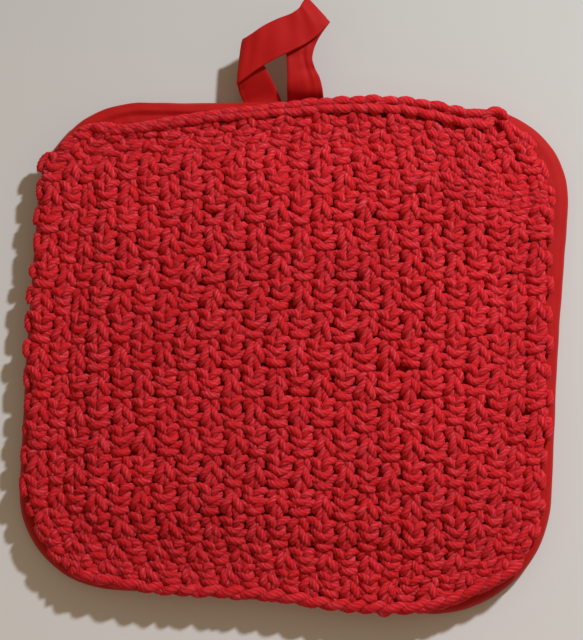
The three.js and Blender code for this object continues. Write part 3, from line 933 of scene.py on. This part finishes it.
# The tape of the loop, followed from its left end to its right end. Each row is one
# crossing of the tape: the place of its first edge and of its second edge.
LOOP_ROWS = np.array([
    (-19.2, 80.3, 3.4, -7.2, 81.4, 3.4),  # left end
    (-21.3, 84.2, 3.4, -8.6, 85.9, 3.5),
    (-23.0, 87.3, 5.4, -11.6, 91.3, 6.6),
    (-23.5, 88.8, 7.4, -15.0, 96.4, 9.4),  # left turn
    (-23.9, 89.4, 9.0, -19.2, 101.0, 10.6),
    (-23.6, 89.2, 10.0, -22.6, 104.2, 11.5),  # left fold
    (-20.9, 91.3, 11.2, -21.2, 105.3, 12.7),
    (-16.9, 94.4, 12.1, -18.7, 107.0, 13.4),  # front strip
    (-12.0, 97.4, 12.8, -15.2, 109.5, 13.8),
    (-5.9, 100.8, 13.3, -10.6, 112.0, 14.0),
    (-1.6, 103.3, 13.5, -6.5, 113.9, 14.0),
    (2.4, 106.5, 13.6, -4.2, 115.8, 13.9),
    (4.9, 109.2, 13.6, -3.3, 117.6, 13.8),  # top turn
    (6.5, 111.5, 12.7, -2.1, 119.9, 12.9),  # top fold
    (4.2, 108.3, 11.7, -3.9, 116.7, 12.0),
    (2.4, 104.9, 11.3, -6.6, 112.0, 11.6),  # right leg
    (1.4, 101.5, 10.9, -8.2, 106.2, 11.2),
    (1.3, 98.8, 10.6, -7.9, 101.3, 11.0),
    (2.4, 96.0, 10.1, -7.3, 96.6, 10.6),
    (4.1, 93.0, 9.4, -7.0, 92.6, 9.9),
    (5.3, 89.2, 7.9, -6.9, 88.6, 8.4),
    (5.9, 85.6, 3.9, -6.6, 85.1, 4.0),
    (6.0, 80.8, 3.4, -6.4, 80.4, 3.4),  # right end
])
LOOP = {
    "thickness": 1.1,
    "steps": 264,
    "across": 22,
    # lines along the tape: (place across it, half width, height or depth)
    "groove": (0.12, 0.035, 0.16),
    "ridge": (0.9, 0.05, 0.10),
    "crease": (0.33, 0.07, 0.5),
    "crease_grows": (175, 25),  # first step and count of steps
    "crease_shrinks": (250, 20),  # last step and count of steps
    "held": 14.0,  # steps at each end that the rim holds flat
}


def tape_line(across, place, half_width, height):
    """Height of a line along the tape: a bell curve of the place across it."""
    return height * hump((across - place) / half_width)


def loop_tape(material):
    """The hanging loop: a flat oval section, half the thickness times the fourth root of
    1 minus the place across to the fourth, with a groove where the edge is stitched, a
    soft lengthwise ridge, a crease along the right leg and slight waves. The section
    stands square to the tape's two edges, which are smooth lines through LOOP_ROWS."""
    t = np.linspace(0, len(LOOP_ROWS) - 1, LOOP["steps"] + 1)
    first, second = (catmull_rom(LOOP_ROWS[:, k : k + 3], t) for k in (0, 3))
    middle = (first + second) / 2
    off = unit(np.cross(second - first, np.gradient(middle, axis=0)))
    rows = len(t)
    w = 0.5 - 0.5 * np.cos(np.linspace(0, math.pi, LOOP["across"]))
    full = np.sqrt(np.sqrt(np.maximum(1 - (2 * w - 1) ** 4, 0)))
    groove, ridge = (tape_line(w, *LOOP[line]) for line in ("groove", "ridge"))
    half = LOOP["thickness"] / 2 * full
    upper = half - groove * full + ridge * full
    lower = -half + groove * full
    across = np.concatenate([w, w[-2:0:-1]])
    height = np.concatenate([upper, lower[-2:0:-1]])
    k = np.arange(rows)[:, None]
    wave = 0.16 * np.sin(k / 6.1 + across[None] * 2.2) + 0.10 * np.sin(k / 2.7 - across[None] * 3.1)
    (start, grows), (stop, shrinks) = LOOP["crease_grows"], LOOP["crease_shrinks"]
    crease = tape_line(across[None], *LOOP["crease"])
    crease = crease * smooth((k - start) / grows) * smooth((stop - k) / shrinks)
    ends = smooth(k / LOOP["held"]) * smooth((rows - 1 - k) / LOOP["held"])
    rise = height[None] + (wave - crease) * ends
    points = first[:, None] + (second - first)[:, None] * across[None, :, None]
    points = points + off[:, None] * rise[..., None]
    columns = len(across)
    width = np.append(across, across[0]) * np.linalg.norm(second - first, axis=1).mean()
    uv = grid_uv(width, way_along(middle))
    faces = grid_faces(rows, columns, close_columns=True)
    piece = to_mesh("loop_tape", points, faces, material, uv)
    ends = [range(row * columns, (row + 1) * columns) for row in (0, rows - 1)]
    close_with(piece, ends, smooth_faces=False)
    return piece


def rim_stitching(material):
    """The seam that holds the binding, all round: short stitches of thread on both faces.
    On the front each stands up in its middle and dips into the tape at its ends, by a
    parabola of the way along it."""
    count = int(PERIMETER / SEAM["pitch"])
    point, normal = outline_at((np.arange(count) + 0.5) / count)
    along = np.stack([normal[:, 1], -normal[:, 0]], -1)[:, None]
    way = np.linspace(-1, 1, 7)
    flat = (point - normal * (RIM["width"] - SEAM["inset"]))[:, None]
    flat = flat + along * way[None, :, None] * SEAM["stitch"] / 2
    arch = SEAM["thread"] * SEAM["arch"] * (1 - 2 * way**2)
    lines = []
    for height in (2 * RIM["radius"] + arch, SEAM["back"] + 0 * way):
        height = np.broadcast_to(height[:, None], (count, len(way), 1))
        lines.append(np.concatenate([flat, height], -1))
    thread = {"count": 2, "pitch": 1.1, "groove": 0.2}
    lines = np.concatenate(lines)
    return strand_mesh("rim_stitching", lines, SEAM["thread"], material, thread, sides=6)


def knit_ground(material, steps=100, margin=0.018, height=0.55):
    """The closed-up back of the knitting, a thin sheet on the panel's underside that fills
    in between the strands; coloured darker than the yarn, as painted shade in the gaps."""
    v, u = np.meshgrid(*[np.linspace(margin, 1 - margin, steps + 1)] * 2, indexing="ij")
    points = on_ground(u, v, np.full(u.shape, height))
    piece = to_mesh("knit_ground", points, grid_faces(steps + 1, steps + 1, flip=True), material)
    thicken = piece.modifiers.new("thickness", "SOLIDIFY")
    thicken.thickness = 0.5 * MM
    thicken.offset = -1.0
    return piece


# ------ finishes


def feed(tree, node, inputs):
    """Sets inputs of a node, by name or number: each to a value or linked to a socket."""
    for key, given in inputs.items():
        if isinstance(given, bpy.types.NodeSocket):
            tree.links.new(given, node.inputs[key])
        else:
            node.inputs[key].default_value = given


def add_node(tree, kind, inputs, **settings):
    """Outputs of a new shader node with these settings and inputs."""
    node = tree.nodes.new("ShaderNode" + kind)
    for name, value in settings.items():
        setattr(node, name, value)
    feed(tree, node, inputs)
    return node.outputs


def math_node(tree, operation, *inputs):
    """Result of a Math node."""
    return add_node(tree, "Math", dict(enumerate(inputs)), operation=operation)[0]


def noise(tree, vector, scale, detail, roughness=0.55):
    """Noise texture's plain value at the vector."""
    inputs = {"Vector": vector, "Scale": scale, "Detail": detail, "Roughness": roughness}
    return add_node(tree, "TexNoise", inputs)["Fac"]


def coordinates(tree, label):
    """One output of the Texture Coordinate node: the piece's UV map or Object place."""
    return add_node(tree, "TexCoord", {})[label]


def yarn_plies(tree, plies):
    """Plies and fibres of a yarn, from a UV map with the share of the way round the strand
    and the millimetres along it: (crest, fibre, slub, height). The plies are a cosine of
    the way round, and the fibres are noise on the strand's own round section, drawn out
    along it."""
    calc = partial(math_node, tree)
    around, along, _ = add_node(tree, "SeparateXYZ", {0: coordinates(tree, "UV")})
    turn = calc("MULTIPLY", around, 2 * math.pi)
    lobe = calc("COSINE", calc("MULTIPLY", turn, plies))
    crest = calc("MULTIPLY_ADD", lobe, 0.5, 0.5)
    reach, drawn = 3.2, 0.42
    x, y = (calc("MULTIPLY", calc(way, turn), reach) for way in ("COSINE", "SINE"))
    ring = add_node(tree, "CombineXYZ", {0: x, 1: y, 2: calc("MULTIPLY", along, drawn)})[0]
    fibre = noise(tree, ring, 1.6, detail=2.0, roughness=0.6)
    slub = noise(tree, ring, 0.16, detail=1.0)
    return crest, fibre, slub, calc("MULTIPLY_ADD", fibre, 0.6, crest)


def plain_weave(tree, place, pitch):
    """Plain weave as (height, shade): threads run both ways at a pitch, each a half wave of
    a sine, and the ones on top change about like a chequerboard. The shade varies from
    thread to thread."""
    calc = partial(math_node, tree)
    threads, waves = [], []
    for way in list(add_node(tree, "SeparateXYZ", {0: place}))[:2]:
        count = calc("DIVIDE", way, pitch)
        threads.append(calc("FLOOR", count))
        waves.append(calc("ABSOLUTE", calc("SINE", calc("MULTIPLY", count, math.pi))))
    on_top = calc("PINGPONG", calc("ADD", *threads), 1.0)
    down = calc("SUBTRACT", 1.0, on_top)
    height = calc("ADD", *(calc("MULTIPLY", *pair) for pair in zip(waves, (on_top, down))))
    x, y = (calc("MULTIPLY", *pair) for pair in zip(threads, (on_top, down)))
    return height, noise(tree, add_node(tree, "CombineXYZ", {0: x, 1: y})[0], 0.73, detail=1.0)


def blank_material(name, roughness, sheen=0.0, sheen_tint=(1, 1, 1, 1)):
    """A material's tree with its shader; the numbers that are alike all over are set on
    the shader's own sockets."""
    material = bpy.data.materials.new(name)
    material.use_nodes = True
    tree = material.node_tree
    shader = tree.nodes["Principled BSDF"]
    inputs = {
        "Roughness": roughness,
        "Sheen Weight": sheen,
        "Sheen Roughness": 0.45,
        "Sheen Tint": sheen_tint,
        "Specular IOR Level": 0.16,
    }
    feed(tree, shader, inputs)
    return material, tree, shader


def ramp(tree, value, stops):
    """Colour ramp through (place, colour) stops."""
    node = tree.nodes.new("ShaderNodeValToRGB")
    points = node.color_ramp.elements
    while len(points) < len(stops):
        points.new(0.5)
    for point, (place, colour) in zip(points, stops):
        point.position = place
        point.color = (*colour, 1)
    tree.links.new(value, node.inputs[0])
    return node.outputs[0]


def finish(tree, shader, colour, clouds, height, distance, strength):
    """Gives the shader its colour, times slow clouds between two greys, and the height as
    bump. `clouds` holds their share, scale, detail, dark and pale grey."""
    share, scale, detail, dark, pale = clouds
    cloudy = noise(tree, coordinates(tree, "Object"), scale, detail)
    greys = ramp(tree, cloudy, [(0.3, (dark,) * 3), (0.7, (pale,) * 3)])
    factor, first, second, result = 0, 6, 7, 2  # sockets of the Mix node for colours
    inputs = {factor: share, first: colour, second: greys}
    mixed = add_node(tree, "Mix", inputs, data_type="RGBA", blend_type="MULTIPLY")[result]
    bump = add_node(tree, "Bump", {"Strength": strength, "Distance": distance, "Height": height})
    feed(tree, shader, {"Base Color": mixed, "Normal": bump[0]})


# Yarn colours: the darkest mixes darker fibres with painted shade between the plies; the palest is a
# painted pinkish highlight on pale fibres and ply crests.
YARN = {
    "dark_tone_and_shade": (0.46, 0.003, 0.005),
    "colour": (0.60, 0.012, 0.021),
    "painted_highlight": (0.76, 0.095, 0.130),
    "clouds": (0.35, 28.0, 2.0, 0.75, 1.15),
}
# Woven cloths; `laid` says whether the weave follows the UV map or the Object place. The
# darkest colour goes to darker threads and to painted shade in the weave's hollows.
CLOTHS = {
    "binding_tape": {
        "colour": (0.48, 0.005, 0.005),
        "dark_tone_and_shade": (0.38, 0.003, 0.003),
        "laid": "UV",
        "pitch": 0.42,
        "roughness": 0.62,
        "sheen": 0.12,
    },
    "pad_cloth": {
        "colour": (0.40, 0.004, 0.005),
        "dark_tone_and_shade": (0.38, 0.003, 0.003),
        "laid": "Object",
        "pitch": 0.55,
        "roughness": 0.8,
        "sheen": 0.15,
    },
    # The back of the knitting, darker than the yarn: painted shade for the gaps between strands.
    "knit_back": {
        "colour": (0.44, 0.002, 0.003),
        "dark_tone_and_shade": (0.44, 0.002, 0.003),
        "laid": "Object",
        "pitch": 1.2,
        "roughness": 0.95,
        "sheen": 0.0,
    },
}
CLOTH_CLOUDS = (0.3, 22.0, 3.0, 0.8, 1.12)


def yarn_material():
    """Soft cotton yarn: painted shade between the plies, a painted pinkish highlight on their
    crests and on pale fibres, with fibres and slow changes of the dye along the strand."""
    material, tree, shader = blank_material("cotton_yarn", 0.8, 0.06, (1, 0.4, 0.4, 1))
    shader.inputs["Subsurface Weight"].default_value = 0.45
    shader.inputs["Subsurface Radius"].default_value = (1.0, 0.12, 0.10)
    shader.inputs["Subsurface Scale"].default_value = 2.0 * MM
    crest, fibre, slub, height = yarn_plies(tree, PLY["count"])
    # The tone runs from darker fibres and painted shade in the ply grooves up to a painted highlight
    # on the ply crests and pale fibres, and changes slowly with the dye's slubs.
    tone = math_node(tree, "MULTIPLY_ADD", fibre, 1.7, -0.85)
    tone = math_node(tree, "MULTIPLY_ADD", crest, 0.3, tone)
    tone = math_node(tree, "MULTIPLY_ADD", slub, 0.6, tone)
    stops = [(0.0, YARN["dark_tone_and_shade"]), (0.5, YARN["colour"]), (1.0, YARN["painted_highlight"])]
    finish(tree, shader, ramp(tree, tone, stops), YARN["clouds"], height, 0.10 * MM, 0.5)
    return material


def cloth_material(name):
    """Woven cloth: thread by thread tone, slow fading, painted shade where the weave dips low, and
    the weave as bump.
    """
    cloth = CLOTHS[name]
    tint = (1, 0.6, 0.55, 1)
    material, tree, shader = blank_material(name, cloth["roughness"], cloth["sheen"], tint)
    place = coordinates(tree, cloth["laid"])
    if cloth["laid"] == "Object":
        inputs = {0: place, "Scale": 1 / MM}
        place = add_node(tree, "VectorMath", inputs, operation="SCALE")[0]
    height, shade = plain_weave(tree, place, cloth["pitch"])
    # Darker where the weave is low: painted shade in its hollows, mixed with each thread's own tone.
    tone = math_node(tree, "MULTIPLY", height, 0.35)
    tone = math_node(tree, "MULTIPLY_ADD", shade, 0.65, tone)
    base = ramp(tree, tone, [(0.15, cloth["dark_tone_and_shade"]), (0.75, cloth["colour"])])
    finish(tree, shader, base, CLOTH_CLOUDS, height, 0.05 * MM, 0.7)
    return material


def floor_material():
    """Plain pale floor, a little paler in front of the potholder than behind it: a painted light
    gradient across the floor.
    """
    material, tree, shader = blank_material("pale_floor", 0.9)
    place = coordinates(tree, "Object")
    axes = add_node(tree, "SeparateXYZ", {0: place})
    # Painted light: the floor is paler towards the front of the picture.
    near = math_node(tree, "MULTIPLY_ADD", axes[1], -4.0, 0.5)
    shade = math_node(tree, "MULTIPLY_ADD", noise(tree, place, 9.0, detail=2.0), 0.08, near)
    greys = ramp(tree, shade, [(0.0, (0.515, 0.515, 0.51)), (1.0, (0.715, 0.71, 0.715))])
    feed(tree, shader, {"Base Color": greys})
    return material


# ------ camera, light and floor

VIEW = {
    "aim": (-0.0005, -0.0077, 0.006),
    "distance": 0.63,
    "elevation": 82.0,
    "turn": 3.0,  # how far the potholder looks turned clockwise
    "height": 0.2144,  # what the picture takes in at the aim
}
KEY = {
    "way": (25.0, 28.0, 36.5),  # right, up and off the floor, from the aim to the lamp
    "distance": 0.8,
    "size": 0.06,
    "power": 5.3,
    "colour": (0.96, 1.0, 1.04),
}
ROOM = {"Color": (1.0, 0.77, 0.50, 1), "Strength": 0.33}


def view_axes():
    """Right and up of the picture, on the floor."""
    turn = math.radians(VIEW["turn"])
    return Vector((math.cos(turn), math.sin(turn), 0)), Vector((-math.sin(turn), math.cos(turn), 0))


def set_camera():
    """Looks almost straight down, from a little towards the lower edge."""
    right, up = view_axes()
    rise = math.radians(VIEW["elevation"])
    back = -up * math.cos(rise) + Vector((0, 0, math.sin(rise)))
    camera = bpy.data.cameras.new("camera")
    camera.sensor_fit = "VERTICAL"
    camera.sensor_height = 24.0
    camera.lens = camera.sensor_height * VIEW["distance"] / VIEW["height"]
    camera.clip_start = 0.01
    eye = add_object("camera", camera)
    axes = Matrix((right, back.cross(right), back)).transposed().to_4x4()
    eye.matrix_world = Matrix.Translation(Vector(VIEW["aim"]) + back * VIEW["distance"]) @ axes
    bpy.context.scene.camera = eye


def set_light():
    """A small round lamp to the upper right of the picture, and a warm dim room."""
    right, up = view_axes()
    way = (right * KEY["way"][0] + up * KEY["way"][1] + Vector((0, 0, KEY["way"][2]))).normalized()
    lamp = bpy.data.lights.new("key", "AREA")
    lamp.shape = "DISK"
    lamp.size = KEY["size"]
    lamp.energy = KEY["power"]
    lamp.color = KEY["colour"]
    key = add_object("key", lamp)
    key.location = Vector(VIEW["aim"]) + way * KEY["distance"]
    key.rotation_euler = way.to_track_quat("Z", "Y").to_euler()
    world = bpy.data.worlds.new("room")
    world.use_nodes = True
    feed(world.node_tree, world.node_tree.nodes["Background"], ROOM)
    bpy.context.scene.world = world
    bpy.context.scene.view_settings.view_transform = "Standard"


def set_floor(reach=3.0):
    """A pale floor under the potholder, wide enough for every view."""
    mesh = bpy.data.meshes.new("floor")
    corners = [(-reach, -reach, 0), (reach, -reach, 0), (reach, reach, 0), (-reach, reach, 0)]
    mesh.from_pydata(corners, [], [(0, 1, 2, 3)])
    mesh.materials.append(floor_material())
    add_object("floor", mesh)


# ------ the potholder


def place(piece, slot, *nodes):
    """Fixes a piece to the potholder's one body and hides the model's parts that it replaces. The
    slot is not used.
    """
    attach(piece, BODY)
    if nodes:
        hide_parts(*nodes)
    return piece


def build():
    """Sets the stage and makes every piece. All the uneven parts draw from one stream of
    random numbers, in a fixed order: the rows, the chain."""
    random = np.random.default_rng(SEED)
    set_camera()
    set_light()
    set_floor()

    yarn = yarn_material()
    tape = cloth_material("binding_tape")
    pad = place(pad_body(cloth_material("pad_cloth")), "pad_cloth", "pad")
    place(rim_tape(tape), "tape_cloth", "edge_binding")
    place(rim_stitching(tape), "tape_cloth")
    place(loop_tape(tape), "tape_cloth", "hanging_loop")

    back = place(knit_ground(cloth_material("knit_back")), "knit_yarn", "knit_panel")
    rows = lay_on_panel(row_strands(knit_rows(random), random))
    yarns = [
        (f"knit_rows_{k + 1}", band, KNIT["strand"])
        for k, band in enumerate(np.array_split(rows, KNIT["bands"]))
    ]
    yarns.append(("cast_off_chain", lay_on_panel(cast_off_chain(random)), CHAIN["strand"]))
    yarns.append(("cast_on_edge", lay_on_panel(cast_on_cord()), CAST_ON["strand"]))
    parts = [place(strand_mesh(*given, yarn), "knit_yarn") for given in yarns]


build()
